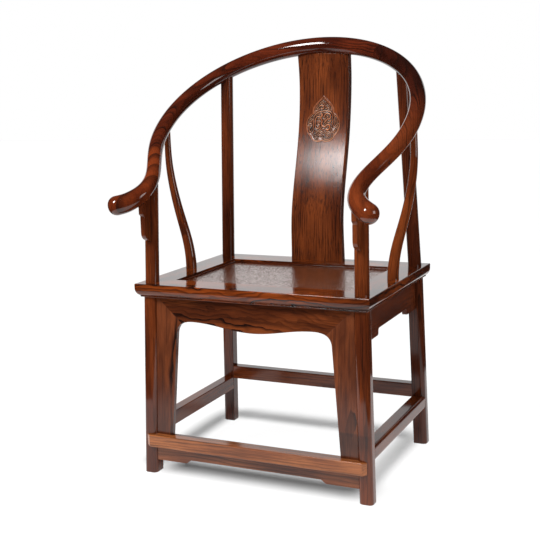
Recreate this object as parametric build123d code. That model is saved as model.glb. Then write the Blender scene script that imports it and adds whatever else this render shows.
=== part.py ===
from build123d import *
import math
import os

# A horseshoe-back armchair in lacquered rosewood. All dimensions are in millimetres.
# The origin is on the floor under the middle of the seat. +Z is up, +Y is towards
# the back, and left and right are as seen by someone who faces the chair.
#
# It is built as such chairs are: a mitred seat frame on four splayed legs, whose
# posts run on through the frame, a horseshoe rail of five lapped and wedged lengths
# on top of the posts, and a bent splat that stands in the rear seat rail.

# ---------------------------------------------------------------- driving sizes

# Seat frame
seat_height = 475.0
seat_width = 595.0
seat_depth = 468.0
frame_thick = 33.0
front_rail_width = 73.0
rear_rail_width = 80.0
side_rail_width = 73.0
edge_inset = 11.5               # how far the moulded edge runs in towards its foot
edge_flat = 10.0                # upright band at the top of the moulded edge
edge_curve_depth = 23.0         # depth at which the moulded edge turns inward
edge_bead = 4.0                 # height of the bead at the foot of the moulded edge
edge_round = 2.0
ledge_width = 10.0              # rebate that carries the seat board
ledge_depth = 19.0
frame_tenon_width = 18.0
frame_tenon_thick = 11.0
frame_tenon_cover = 12.0        # wood left outside the blind end of a frame tenon
frame_tenon_wall = 2.0          # wood left between a frame tenon and the opening

# Seat board, woven mat, pressing strips and battens
board_thick = 8.0
mat_thick = 3.0
strip_width = 6.0
strip_height = 3.5
strip_round = 1.2
panel_clearance = 0.4
batten_width = 32.0
batten_thick = 12.0
batten_spacing = 150.0          # between the centre lines of the two battens
batten_tenon_width = 21.0
batten_tenon_length = 12.0
batten_tenon_thick = 6.0

# Legs and posts
leg_size = 34.0
leg_outer_round = 9.5
leg_side_round = 11.0
leg_inner_round = 1.5
leg_inset_x = 29.0              # from the side of the seat frame to the leg's centre
leg_inset_y = 33.5              # from the front or back of the frame to the leg's centre
leg_splay_x = 12.5              # outward lean between the frame and the floor
leg_splay_y = 11.5
foot_chamfer = 1.0
front_post_dia = 33.5
front_post_top_dia = 33.0
rear_post_dia = 34.0
rear_post_top_dia = 32.5
side_post_dia = 28.0
side_post_top_dia = 14.5
side_post_x = 273.5             # where a side post stands on the side rail
side_post_y = 2.0
side_post_bend_z = 612.0        # half way out in its S-curve
side_post_upright_z = 742.0     # where it has come upright under the rail
side_post_lag = 1.0             # how much further in it still stands at that height
post_tenon_dia = 12.0
post_tenon_length = 14.0
joint_clearance = 0.2           # round tenons in their holes, and shoulders under the rail

# Horseshoe rail: its centre line lies in one sloping plane
rail_slope = 34.8               # degrees from level, rising towards the back
rail_middle_y = -0.5            # centre of the round back
rail_middle_z = 849.5
rail_back_radius = 326.5
rail_crest_dia = 43.0
rail_side_dia = 38.0
rail_neck_dia = 35.5
rail_hand_dia = 42.5
arm_bend_reach = 165.0          # down the slope from the middle to the bend of the arm
arm_bend_half_width = 286.5
neck_reach = 281.5              # and to the neck
neck_half_width = 269.5
hand_reach = 324.5
hand_half_width = 311.0
rear_post_angle = 48.0          # degrees round the back from the crest
front_post_run = 752.0          # along the rail from the crest to the front post
crest_joint_run = 143.0         # and to the joint between the splat and the rear post
arm_joint_run = 668.0           # and to the joint in front of the side post
neck_run = 719.0                # and to the slimmest place of the arm
lap_length = 62.0
wedge_size = 7.0
wedge_taper = 1.5

# Back splat
splat_width = 146.0
splat_draw_in = 3.0             # how far each long side draws in at mid height
splat_thick = 22.0
splat_edge_round = 3.5
splat_seat_y = 190.0            # front face of the splat where it leaves the seat
splat_small_z = 590.0           # top of the upright part behind the small of the back
splat_waist_z = 725.0           # three heights above it, and how far back it is there
splat_waist_sweep = 34.0
splat_chest_z = 835.0
splat_chest_sweep = 63.0
splat_shoulder_z = 945.0
splat_shoulder_sweep = 74.0
splat_tenon_thick = 9.0
splat_tenon_width = 90.0
splat_tenon_length = 14.0
medallion_height = 119.0
medallion_width = 94.0
medallion_middle_z = 844.0
medallion_depth = 2.5
medallion_notch_x = 27.0        # notch on each side, under the point
medallion_notch_rise = 16.5     # above the middle
medallion_lobe_drop = 13.0      # widest place of the side lobes, below the middle
medallion_cusp_x = 34.5         # cusp between a side lobe and a foot lobe
medallion_cusp_drop = 42.5
medallion_foot_x = 21.0         # lowest place of the foot lobes
medallion_foot_drop = 56.5
medallion_cleft_drop = 54.5     # between the two foot lobes

# Aprons under the seat
apron_thick = 12.0
front_apron_setback = 8.0       # from the face of the legs back to the apron
side_apron_setback = 14.0       # at the sides and the rear
apron_tongue = 5.0              # height and thickness of the tongue in the frame
front_apron_middle = 72.0       # height at the middle
front_apron_arch = 56.0         # height at the two arches
front_apron_arch_x = 155.0
front_apron_corner = 87.0       # where the apron's curve runs into the upright strip
strip_head_width = 59.0         # width of an upright strip, drawn up to the frame
strip_foot_width = 42.0
side_apron_height = 62.0
side_apron_end_height = 77.5
side_apron_end_length = 81.0
side_apron_step = 9.0           # length of the small ogee between the two heights

# Stretchers and footrest
footrest_top = 100.0
footrest_thick = 31.0
footrest_reach = 9.5            # how far it stands out from the face of the front legs
footrest_end_inset = 10.5       # how far its ends stand in from the sides of the legs
footrest_end_chamfer = 10.0     # along the footrest
footrest_end_thick = 1.0        # left at the ends, in front of the legs
footrest_lip_round = 4.0
footrest_edge_round = 1.5
footrest_apron_height = 27.0
footrest_apron_end_height = 36.0
footrest_apron_end_length = 92.5
footrest_apron_step = 14.0
side_stretcher_top = 130.5
rear_stretcher_top = 162.0
stretcher_height = 35.5
stretcher_width = 33.0
stretcher_outer_round = 8.0
stretcher_inner_round = 2.0
stretcher_tenon_length = 20.0
stretcher_tenon_thick = 11.0
stretcher_tenon_height = 19.0

# Brackets in front of the front posts, under the hands of the rail
bracket_thick = 11.0
bracket_foot_z = 574.0
bracket_lobe_z = 600.0          # where the foot of the lobe has curved upright
bracket_notch_z = 636.0
bracket_notch_height = 8.0
bracket_low_reach = 42.5        # from the post's centre line to the front of the lobe
bracket_high_reach = 48.0
bracket_tongue = 5.0            # depth of its tongue in the post

# ---------------------------------------------------------------- shared places

underside_z = seat_height - frame_thick
ledge_z = seat_height - ledge_depth
half_width = seat_width / 2
half_depth = seat_depth / 2
leg_x = half_width - leg_inset_x
leg_y = half_depth - leg_inset_y
opening_x = half_width - side_rail_width
opening_front = half_depth - front_rail_width
opening_rear = half_depth - rear_rail_width
lean_x = leg_splay_x / underside_z
lean_y = leg_splay_y / underside_z
far = 2 * seat_width            # reach of cutting blocks that must clear the chair
low = (Align.CENTER, Align.CENTER, Align.MIN)
sides = {"left": -1, "right": 1}
ends = {"front": -1, "rear": 1}
near = 0.01                     # tolerance for picking edges by their place
parts = {}


def leg_centre(side, end, z):
    """Centre of a leg at height z; side is -1 or 1 in x, end is -1 or 1 in y."""
    drop = underside_z - z
    return Vector(side * (leg_x + lean_x * drop), end * (leg_y + lean_y * drop), z)


def block(x_range, y_range, z_range):
    """A box given by its two limits along each axis."""
    spans = [abs(b - a) for a, b in (x_range, y_range, z_range)]
    middles = [(a + b) / 2 for a, b in (x_range, y_range, z_range)]
    return Pos(*middles) * Box(*spans)


def round_bar(start, end, start_dia, end_dia):
    """A straight round bar, tapering evenly from one diameter to the other."""
    axis = end - start
    foot = Plane(origin=start, z_dir=axis) * Circle(start_dia / 2)
    head = Plane(origin=end, z_dir=axis) * Circle(end_dia / 2)
    return loft([foot, head])


# ---------------------------------------------------------------- horseshoe rail

slope = math.radians(rail_slope)
rail_plane = Plane(
    origin=(0, rail_middle_y, rail_middle_z),
    x_dir=(1, 0, 0),
    z_dir=(0, -math.sin(slope), math.cos(slope)),
)
quarter = rail_back_radius * math.pi / 2
arm_curve = Spline(
    (rail_back_radius, 0),
    (arm_bend_half_width, -arm_bend_reach),
    (neck_half_width, -neck_reach),
    (hand_half_width, -hand_reach),
    tangents=[(0, -1), (1, -0.4)],
)
half_rail = quarter + arm_curve.length


def rail_line(run):
    """Point and heading of the rail's centre line in the sloping plane.

    The run is measured along the rail from the crest, negative to the left, and
    the heading is the direction in which the run grows.
    """
    distance = abs(run)
    side = -1 if run < 0 else 1
    if distance <= quarter:
        turn = distance / rail_back_radius
        point = Vector(math.sin(turn), math.cos(turn)) * rail_back_radius
        heading = Vector(math.cos(turn), -math.sin(turn))
    else:
        share = min((distance - quarter) / arm_curve.length, 1)
        heading = arm_curve.tangent_at(share)
        point = arm_curve.position_at(share) + heading * max(distance - half_rail, 0)
    return Vector(side * point.X, point.Y), Vector(heading.X, side * heading.Y)


def rail_dia(run):
    """Diameter of the rail: full at the crest, slim at the neck, full at the hand."""
    distance = abs(run)
    stations = [(0, rail_crest_dia), (quarter, rail_side_dia),
                (neck_run, rail_neck_dia), (half_rail, rail_hand_dia)]
    for (start, first_dia), (stop, last_dia) in zip(stations, stations[1:]):
        if distance < stop:
            share = (distance - start) / (stop - start)
            ease = share * share * (3 - 2 * share)
            return first_dia + (last_dia - first_dia) * ease
    return rail_hand_dia


def rail_point(run):
    """A point of the rail's centre line in the chair's own frame."""
    return rail_plane.from_local_coords(rail_line(run)[0])


def rail_body(growth=0.0):
    """The whole horseshoe as one round bar with rounded hands."""
    steps = 18
    sections = []
    for i in range(-steps, steps + 1):
        run = half_rail * i / steps
        point, heading = rail_line(run)
        section = Plane(origin=point, x_dir=(0, 0, 1), z_dir=heading)
        sections.append(section * Circle(rail_dia(run) / 2 + growth))
    body = loft(sections)
    for side in (-1, 1):
        point, heading = rail_line(side * half_rail)
        hand = Sphere(rail_hand_dia / 2 + growth, arc_size1=0)
        body += Plane(origin=point, z_dir=heading * side) * hand
    return rail_plane * body


def sleeve(start, stop, upper):
    """A block round the rail between two runs, above or below its centre plane."""
    reach = rail_hand_dia
    steps = 12
    outer = []
    inner = []
    for i in range(steps + 1):
        point, heading = rail_line(start + (stop - start) * i / steps)
        across = Vector(-heading.Y, heading.X) * reach
        outer.append(point + across)
        inner.append(point - across)
    outline = make_face(Polyline(*outer, *reversed(inner), close=True))
    return rail_plane * extrude(outline, amount=reach if upper else -reach)


def rail_length(start, start_lap, stop, stop_lap):
    """One length of the rail, lapped at an end where a lap side is given.

    A lap of 1 keeps the upper half of the joint, -1 the lower half, 0 no joint.
    """
    piece = Part()
    for half in (1, -1):
        first = start - half * start_lap * lap_length / 2
        last = stop + half * stop_lap * lap_length / 2
        piece += whole_rail & sleeve(first, last, half == 1)
    return piece


def wedge_hole(run):
    """The tapered square peg across a lap, trimmed flush with the rail."""
    point, heading = rail_line(run)
    axis = Plane(origin=point, x_dir=(0, 0, 1), z_dir=(-heading.Y, heading.X, 0))
    reach = rail_dia(run)
    wide = axis.offset(reach) * Rectangle(wedge_size + wedge_taper, wedge_size + wedge_taper)
    slim = axis.offset(-reach) * Rectangle(wedge_size - wedge_taper, wedge_size - wedge_taper)
    return (rail_plane * loft([slim, wide])) & whole_rail


whole_rail = rail_body()
rail_envelope = rail_body(joint_clearance)
crest_joints = [-crest_joint_run, crest_joint_run]
arm_joints = [-arm_joint_run, arm_joint_run]
wedges = [wedge_hole(run) for run in arm_joints[:1] + crest_joints + arm_joints[1:]]
rail_tip = half_rail + rail_hand_dia
rail_pieces = {
    "arm_rail_left": rail_length(-rail_tip, 0, -arm_joint_run, 1),
    "shoulder_rail_left": rail_length(-arm_joint_run, -1, -crest_joint_run, -1),
    "crest_rail": rail_length(-crest_joint_run, 1, crest_joint_run, 1),
    "shoulder_rail_right": rail_length(crest_joint_run, -1, arm_joint_run, -1),
    "arm_rail_right": rail_length(arm_joint_run, 1, rail_tip, 0),
}


# ---------------------------------------------------------------- legs and posts

def make_leg(side, end):
    """One splayed leg, square with its outer corners rounded, up to the seat frame."""
    half = leg_size / 2
    rounds = {
        (1, 1): leg_outer_round,
        (1, -1): leg_side_round,
        (-1, 1): leg_side_round,
        (-1, -1): leg_inner_round,
    }
    foot = Rectangle(leg_size, leg_size)
    for (across, along), radius in rounds.items():
        corner = Vector(side * across * half, end * along * half)
        foot = fillet(foot.vertices().sort_by_distance(corner)[0], radius)
    rise = leg_centre(side, end, underside_z) - leg_centre(side, end, 0)
    leg = extrude(foot, amount=rise.length, dir=rise)
    leg = chamfer(leg.faces().sort_by(Axis.Z)[0].edges(), foot_chamfer)
    return Pos(leg_centre(side, end, 0)) * leg


def rail_tenon(target, direction, growth=0.0):
    """A slim round tenon that runs up into the rail and stops inside it."""
    start = target - direction * rail_crest_dia
    stop = target - direction * (rail_neck_dia / 2 - post_tenon_length)
    dia = post_tenon_dia + 2 * growth
    return round_bar(start, stop + direction * growth, dia, dia)


def make_side_post(side):
    """The slender S-curved post between the side seat rail and the widest point."""
    foot = Vector(side * side_post_x, side_post_y, seat_height)
    head = rail_point(side * quarter)
    bend_x = (foot.X + head.X) / 2
    path = Spline(
        foot,
        (bend_x, foot.Y, side_post_bend_z),
        (head.X - side * side_post_lag, (foot.Y + head.Y) / 2, side_post_upright_z),
        head,
        tangents=[(0, 0, 1), (0, 0, 1)],
    )
    sections = []
    steps = 12
    for i in range(steps + 1):
        share = i / steps
        dia = side_post_dia + (side_post_top_dia - side_post_dia) * share
        section = Plane(origin=path @ share, x_dir=(0, 1, 0), z_dir=path % share)
        sections.append(section * Circle(dia / 2))
    return loft(sections)


up = Vector(0, 0, 1)
rear_post_run = rail_back_radius * math.radians(rear_post_angle)
seat_tenon_place = Pos(0, 0, seat_height - post_tenon_length)
seat_tenon = seat_tenon_place * Cylinder(post_tenon_dia / 2, 2 * post_tenon_length, align=low)
seat_tenon_hole = seat_tenon_place * Cylinder(
    post_tenon_dia / 2 + joint_clearance, 2 * post_tenon_length, align=low)
leg_solids = {}
leg_names = {}
post_holes = {}
rail_holes = []
for side_name, side in sides.items():
    for end_name, end in ends.items():
        run = side * (front_post_run if end < 0 else rear_post_run)
        dia = front_post_dia if end < 0 else rear_post_dia
        top_dia = front_post_top_dia if end < 0 else rear_post_top_dia
        foot = leg_centre(side, end, underside_z)
        head = rail_point(run)
        along = (head - foot).normalized()
        leg = make_leg(side, end)
        post = round_bar(foot, head, dia, top_dia) - rail_envelope
        leg_solids[side, end] = leg
        leg_names[side, end] = f"{end_name}_leg_{side_name}"
        hole_dia = dia + 2 * joint_clearance
        hole_run = along * 2 * frame_thick
        post_holes[side, end] = round_bar(foot - hole_run, foot + hole_run, hole_dia, hole_dia)
        rail_holes.append(rail_tenon(head, along, joint_clearance))
        parts[leg_names[side, end]] = leg + post + rail_tenon(head, along)

    head = rail_point(side * quarter)
    rail_holes.append(rail_tenon(head, up, joint_clearance))
    post = make_side_post(side) - rail_envelope
    post += Pos(side * side_post_x, side_post_y, 0) * seat_tenon
    parts[f"side_post_{side_name}"] = post + rail_tenon(head, up)

# ---------------------------------------------------------------- seat frame


def rail_section(width):
    """Section of a seat rail: x runs outward from the opening, y up from the top."""
    foot = width - edge_inset
    outline = [
        Line((0, 0), (width - edge_round, 0)),
        TangentArc((width - edge_round, 0), (width, -edge_round), tangent=(1, 0)),
        Line((width, -edge_round), (width, -edge_flat)),
        Bezier(
            (width, -edge_flat),
            (width, -edge_curve_depth),
            (foot + edge_bead / 2, edge_bead - frame_thick),
        ),
        Line((foot + edge_bead / 2, edge_bead - frame_thick), (foot, edge_bead - frame_thick)),
        ThreePointArc(
            (foot, edge_bead - frame_thick),
            (foot + edge_bead / 2, edge_bead / 2 - frame_thick),
            (foot, -frame_thick),
        ),
        Polyline((foot, -frame_thick), (-ledge_width, -frame_thick),
                 (-ledge_width, -ledge_depth), (0, -ledge_depth), (0, 0)),
    ]
    return make_face(outline)


def seat_rail(width, opening, turn, corners):
    """A seat rail with mitred ends; turn is its angle about Z from the front rail."""
    section_plane = Plane(
        origin=(seat_width, -opening, seat_height), x_dir=(0, -1, 0), z_dir=(-1, 0, 0))
    bar = extrude(section_plane * rail_section(width), amount=2 * seat_width)
    mitre = extrude(make_face(Polyline(*corners, close=True)), amount=far)
    return (Rot(0, 0, turn) * bar) & mitre


def ring_corners(x, front, rear):
    """The four plan corners of a rectangle, keyed by side and end."""
    return {(side, end): (side * x, -front if end < 0 else rear)
            for side in (-1, 1) for end in (-1, 1)}


outer = ring_corners(half_width, half_depth, half_depth)
opening = ring_corners(opening_x, opening_front, opening_rear)
ledge = ring_corners(
    opening_x - ledge_width, opening_front - ledge_width, opening_rear - ledge_width)


def mitre_corners(first, second):
    """Plan outline between two frame corners, from the edge to the ledge."""
    return [ring[first] for ring in (outer, opening, ledge)] + [
        ring[second] for ring in (ledge, opening, outer)]


seat_rails = {
    "front": seat_rail(front_rail_width, opening_front, 0, mitre_corners((-1, -1), (1, -1))),
    "right": seat_rail(side_rail_width, opening_x, 90, mitre_corners((1, -1), (1, 1))),
    "rear": seat_rail(rear_rail_width, opening_rear, 180, mitre_corners((1, 1), (-1, 1))),
    "left": seat_rail(side_rail_width, opening_x, 270, mitre_corners((-1, 1), (-1, -1))),
}
for side_name, side in sides.items():
    for end_name, end in ends.items():
        inner_y = end * ((opening_front if end < 0 else opening_rear) + frame_tenon_wall)
        tenon = block(
            (side * (opening_x - ledge_width), side * (half_width - frame_tenon_cover)),
            (inner_y, inner_y + end * frame_tenon_width),
            (seat_height - (frame_thick + frame_tenon_thick) / 2,
             seat_height - (frame_thick - frame_tenon_thick) / 2),
        )
        seat_rails[end_name] += tenon
        seat_rails[side_name] -= tenon
        seat_rails[end_name] -= post_holes[side, end]
        seat_rails[side_name] -= post_holes[side, end]
    seat_rails[side_name] -= Pos(side * side_post_x, side_post_y, 0) * seat_tenon_hole

# ---------------------------------------------------------------- seat panel

board_top = ledge_z + board_thick
mat_top = board_top + mat_thick
panel_x = (-opening_x + panel_clearance, opening_x - panel_clearance)
panel_y = (-opening_front + panel_clearance, opening_rear - panel_clearance)
parts["seat_board"] = block(panel_x, panel_y, (ledge_z, board_top))
parts["seat_mat"] = block(panel_x, panel_y, (board_top, mat_top))

strip_outer = ring_corners(panel_x[1], -panel_y[0], panel_y[1])
strip_inner = ring_corners(
    panel_x[1] - strip_width, -panel_y[0] - strip_width, panel_y[1] - strip_width)
strip_ends = {
    "front": ((-1, -1), (1, -1)),
    "right": ((1, -1), (1, 1)),
    "rear": ((1, 1), (-1, 1)),
    "left": ((-1, 1), (-1, -1)),
}
for name, (first, second) in strip_ends.items():
    outline = Polyline(strip_outer[first], strip_inner[first],
                       strip_inner[second], strip_outer[second], close=True)
    strip = extrude(Pos(0, 0, mat_top) * make_face(outline), amount=strip_height)
    top_edges = strip.edges().group_by(Axis.Z)[-1]
    parts[f"mat_strip_{name}"] = fillet(top_edges.sort_by(Edge.length)[-2:], strip_round)

batten_front = -opening_front + ledge_width
batten_rear = opening_rear - ledge_width
tenon_middle_z = (underside_z + ledge_z) / 2
for side_name, side in sides.items():
    middle = side * batten_spacing / 2
    span_x = (middle - batten_width / 2, middle + batten_width / 2)
    batten = block(span_x, (batten_front, batten_rear), (ledge_z - batten_thick, ledge_z))
    tenons = block(
        (middle - batten_tenon_width / 2, middle + batten_tenon_width / 2),
        (batten_front - batten_tenon_length, batten_rear + batten_tenon_length),
        (tenon_middle_z - batten_tenon_thick / 2, tenon_middle_z + batten_tenon_thick / 2),
    )
    seat_rails["front"] -= tenons
    seat_rails["rear"] -= tenons
    parts[f"seat_batten_{side_name}"] = batten + tenons

# ---------------------------------------------------------------- aprons

all_legs = list(leg_solids.values())


def apron_plane(end_or_side, lengthwise):
    """Leaning plane of an apron's face, in line with the splayed legs.

    Its x runs along the seat frame, its y up from the underside of the frame and
    its z outward.
    """
    way = end_or_side
    if lengthwise:
        setback = front_apron_setback if way < 0 else side_apron_setback
        face = way * (leg_y + leg_size / 2 - setback)
        return Plane(origin=(0, face, underside_z), x_dir=(-way, 0, 0),
                     z_dir=(0, way, lean_y))
    face = way * (leg_x + leg_size / 2 - side_apron_setback)
    return Plane(origin=(face, 0, underside_z), x_dir=(0, way, 0), z_dir=(way, 0, lean_x))


def trimmed(body, floor_z=0.0, ceiling_z=underside_z):
    """Cut a board between two heights and scribe its ends to the legs."""
    body = body & block((-far, far), (-far, far), (floor_z, ceiling_z))
    for leg in all_legs:
        body -= leg
    return body


def apron_tongue_bar(plane, length):
    """Tongue along the top of an apron, let into the underside of the frame."""
    middle = Pos(0, 0, -apron_thick / 2)
    return plane * middle * Box(length, 2 * apron_tongue, apron_tongue)


def stepped_apron(plane, half_length, height, end_height, end_length, step):
    """An apron with deeper ends, joined to its shallow middle by small ogees."""
    step_x = half_length - end_length
    right = [
        (half_length + leg_size / 2, -end_height),
        (step_x + step, -end_height),
    ]
    ogee = Spline(
        right[1],
        (step_x + step / 2, -(height + end_height) / 2),
        (step_x, -height),
        tangents=[(-1, 0.3), (-1, 0.3)],
    )
    half = [Line((0, 0), (right[0][0], 0)), Line((right[0][0], 0), right[0]),
            Line(right[0], right[1]), ogee, Line((step_x, -height), (0, -height)),
            Line((0, -height), (0, 0))]
    face = make_face(half)
    face += mirror(face, Plane.YZ)
    return plane * extrude(face, amount=-apron_thick)


inner_leg_x = leg_x - leg_size / 2
inner_leg_y = leg_y - leg_size / 2
front_plane = apron_plane(-1, True)

# Front apron and its two upright strips, mitred together in the corners
edge_lean = lean_x + (strip_head_width - strip_foot_width) / (underside_z - footrest_top)
corner_x = inner_leg_x - strip_head_width + edge_lean * front_apron_corner
foot_y = -underside_z
foot_x = inner_leg_x - strip_head_width - edge_lean * foot_y
arch_line = Spline(
    (0, -front_apron_middle),
    (front_apron_arch_x, -front_apron_arch),
    tangents=[(1, 0), (1, 0)],
)
corner_line = Spline(
    (front_apron_arch_x, -front_apron_arch),
    (corner_x, -front_apron_corner),
    tangents=[(1, 0), (edge_lean, -1)],
)
leg_foot_x = leg_x - lean_x * foot_y
half_panel = make_face([
    Line((0, 0), (leg_x, 0)),
    Line((leg_x, 0), (leg_foot_x, foot_y)),
    Line((leg_foot_x, foot_y), (foot_x, foot_y)),
    Line((foot_x, foot_y), (corner_x, -front_apron_corner)),
    corner_line,
    arch_line,
    Line((0, -front_apron_middle), (0, 0)),
])
panel = extrude(half_panel + mirror(half_panel, Plane.YZ), amount=-apron_thick)
mitre_top = Vector(inner_leg_x, 0)
mitre_reach = (corner_line @ 0.5 - mitre_top).normalized() * far
far_foot = mitre_top + mitre_reach
far_top = mitre_top - mitre_reach
front_strips = {}
for side_name, side in sides.items():
    corner = make_face(Polyline(
        (side * far_top.X, far_top.Y), (side * far_foot.X, far_foot.Y),
        (side * far_top.X, far_foot.Y), close=True))
    front_strips[side_name] = extrude(corner, amount=far, both=True)
strip_cutters = front_strips["left"] + front_strips["right"]
front_apron = trimmed(front_plane * (panel - strip_cutters))
tongue = apron_tongue_bar(front_plane, 2 * inner_leg_x - leg_size)
parts["front_apron"] = front_apron + tongue
seat_rails["front"] -= tongue
for side_name, side in sides.items():
    # The leaning plane faces forward, so its x runs the same way as the chair's
    strip = trimmed(front_plane * (panel & front_strips[side_name]), footrest_top)
    parts[f"front_strip_{side_name}"] = strip

rear_plane = apron_plane(1, True)
tongue = apron_tongue_bar(rear_plane, 2 * inner_leg_x - leg_size)
rear_apron = stepped_apron(rear_plane, inner_leg_x, side_apron_height,
                           side_apron_end_height, side_apron_end_length, side_apron_step)
parts["rear_apron"] = trimmed(rear_apron) + tongue
seat_rails["rear"] -= tongue
for side_name, side in sides.items():
    side_plane = apron_plane(side, False)
    tongue = apron_tongue_bar(side_plane, 2 * inner_leg_y - leg_size)
    side_apron = stepped_apron(side_plane, inner_leg_y, side_apron_height,
                               side_apron_end_height, side_apron_end_length,
                               side_apron_step)
    parts[f"side_apron_{side_name}"] = trimmed(side_apron) + tongue
    seat_rails[side_name] -= tongue

for name, rail in seat_rails.items():
    parts[f"seat_rail_{name}"] = rail

# ---------------------------------------------------------------- stretchers

leg_cuts = {place: [] for place in leg_solids}


def stretcher_tenon(start, stop):
    """A flat tenon between two points, thick across and tall upright."""
    middle = (start + stop) / 2
    run = stop - start
    turn = math.degrees(math.atan2(run.Y, run.X))
    return Pos(middle) * Rot(0, 0, turn) * Box(
        run.length, stretcher_tenon_thick, stretcher_tenon_height)


def rounded_bar(start, stop, width, height, outer_side):
    """A level bar whose outer edges, on the left or right of its run, are rounder."""
    run = stop - start
    section_plane = Plane(origin=start, x_dir=(-run.Y, run.X, 0), z_dir=run)
    section = Rectangle(width, height)
    corners = section.vertices()
    section = fillet([v for v in corners if v.X * outer_side > 0], stretcher_outer_round)
    corners = [v for v in section.vertices() if v.X * outer_side < 0]
    section = fillet([v for v in corners if abs(v.X) > width / 2 - near], stretcher_inner_round)
    return extrude(section_plane * section, amount=run.length)


def add_stretcher(name, first, second, top_z, outer_side):
    """A stretcher between two legs, scribed to them and tenoned into both."""
    z = top_z - stretcher_height / 2
    start = leg_centre(*first, z)
    stop = leg_centre(*second, z)
    bar = rounded_bar(start, stop, stretcher_width, stretcher_height, outer_side)
    for place in (first, second):
        bar -= leg_solids[place]
    heading = (stop - start).normalized()
    inset = leg_size / 2 - stretcher_tenon_length
    tenon = stretcher_tenon(start + heading * inset, stop - heading * inset)
    leg_cuts[first].append(tenon)
    leg_cuts[second].append(tenon)
    parts[name] = bar + tenon


add_stretcher("side_stretcher_left", (-1, -1), (-1, 1), side_stretcher_top, 1)
add_stretcher("side_stretcher_right", (1, -1), (1, 1), side_stretcher_top, -1)
add_stretcher("rear_stretcher", (-1, 1), (1, 1), rear_stretcher_top, 1)

# Footrest across the front legs, wrapped round their faces, and its apron
rest_z = footrest_top - footrest_thick / 2
rest_leg = leg_centre(1, -1, rest_z)
rest_front = rest_leg.Y - leg_size / 2 - footrest_reach
rest_back = front_plane.origin.Y - lean_y * (underside_z - footrest_top) + apron_thick
rest_end = rest_leg.X + leg_size / 2 - footrest_end_inset
rest_corner = rest_end - footrest_end_chamfer
rest_end_y = rest_front + footrest_reach - footrest_end_thick
rest_outline = Polyline(
    (-rest_end, rest_back), (-rest_end, rest_end_y), (-rest_corner, rest_front),
    (rest_corner, rest_front), (rest_end, rest_end_y), (rest_end, rest_back), close=True)
rest = extrude(make_face(rest_outline), amount=footrest_thick)
front_edges = rest.edges().filter_by_position(Axis.Y, rest_front - near, rest_back - near)
rest = fillet(front_edges.group_by(Axis.Z)[0], footrest_lip_round)
front_edges = rest.edges().filter_by_position(Axis.Y, rest_front - near, rest_back - near)
rest = fillet(front_edges.group_by(Axis.Z)[-1], footrest_edge_round)
rest = Pos(0, 0, footrest_top - footrest_thick) * rest

rest_tenon_y = (rest_leg.Y - leg_size / 2 + rest_back) / 2
rest_tenon_x = rest_leg.X - leg_size / 2 + stretcher_tenon_length
rest_tenon = stretcher_tenon(
    Vector(-rest_tenon_x, rest_tenon_y, rest_z), Vector(rest_tenon_x, rest_tenon_y, rest_z))
for place in ((-1, -1), (1, -1)):
    rest -= leg_solids[place]
    leg_cuts[place].append(rest_tenon)

rest_underside = footrest_top - footrest_thick
under_rest = Plane(
    origin=front_plane.origin + front_plane.y_dir * (rest_underside - underside_z),
    x_dir=front_plane.x_dir, z_dir=front_plane.z_dir)
rest_apron_x = rest_leg.X - leg_size / 2
tongue = apron_tongue_bar(under_rest, 2 * rest_apron_x - leg_size)
rest_apron = stepped_apron(under_rest, rest_apron_x, footrest_apron_height,
                           footrest_apron_end_height, footrest_apron_end_length,
                           footrest_apron_step)
parts["footrest_apron"] = trimmed(rest_apron, 0, rest_underside) + tongue
parts["footrest"] = rest + rest_tenon - tongue

# ---------------------------------------------------------------- brackets

for side_name, side in sides.items():
    foot = leg_centre(side, -1, underside_z)
    head = rail_point(side * front_post_run)
    notch_share = (bracket_notch_z - foot.Z) / (head.Z - foot.Z)
    post_middle = foot + (head - foot) * notch_share
    post_face = post_middle.Y - front_post_top_dia / 2
    low_y = post_middle.Y - bracket_low_reach
    high_y = post_middle.Y - bracket_high_reach
    notch_top = bracket_notch_z + bracket_notch_height
    outline = make_face([
        Line((post_middle.Y, bracket_foot_z), (post_face, bracket_foot_z)),
        Spline((post_face, bracket_foot_z), (low_y, bracket_lobe_z),
               tangents=[(-1, 0.6), (0, 1)]),
        Line((low_y, bracket_lobe_z), (low_y, bracket_notch_z)),
        Spline((low_y, bracket_notch_z), (high_y, notch_top), tangents=[(1, 1), (-1, 1)]),
        Polyline((high_y, notch_top), (high_y, head.Z), (post_middle.Y, head.Z),
                 (post_middle.Y, bracket_foot_z)),
    ])
    face_plane = Plane(origin=(post_middle.X, 0, 0), x_dir=(0, 1, 0), z_dir=(1, 0, 0))
    bracket = extrude(face_plane * outline, amount=bracket_thick / 2, both=True)
    bracket -= round_bar(foot, head, front_post_dia, front_post_top_dia)
    bracket = (bracket - rail_envelope).solids().sort_by(Axis.Z)[0]
    tongue = block(
        (post_middle.X - bracket_thick / 4, post_middle.X + bracket_thick / 4),
        (post_face - bracket_tongue, post_face + bracket_tongue),
        (bracket_lobe_z, bracket_notch_z),
    )
    parts[f"bracket_{side_name}"] = bracket + tongue
    parts[f"front_leg_{side_name}"] -= tongue

# ---------------------------------------------------------------- back splat

crest = rail_point(0)
splat_front = Spline(
    (splat_seat_y, seat_height),
    (splat_seat_y, splat_small_z),
    (splat_seat_y + splat_waist_sweep, splat_waist_z),
    (splat_seat_y + splat_chest_sweep, splat_chest_z),
    (splat_seat_y + splat_shoulder_sweep, splat_shoulder_z),
    (crest.Y - splat_thick / 2, crest.Z),
    tangents=[(0, 1), (-0.1, 1)],
)


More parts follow.
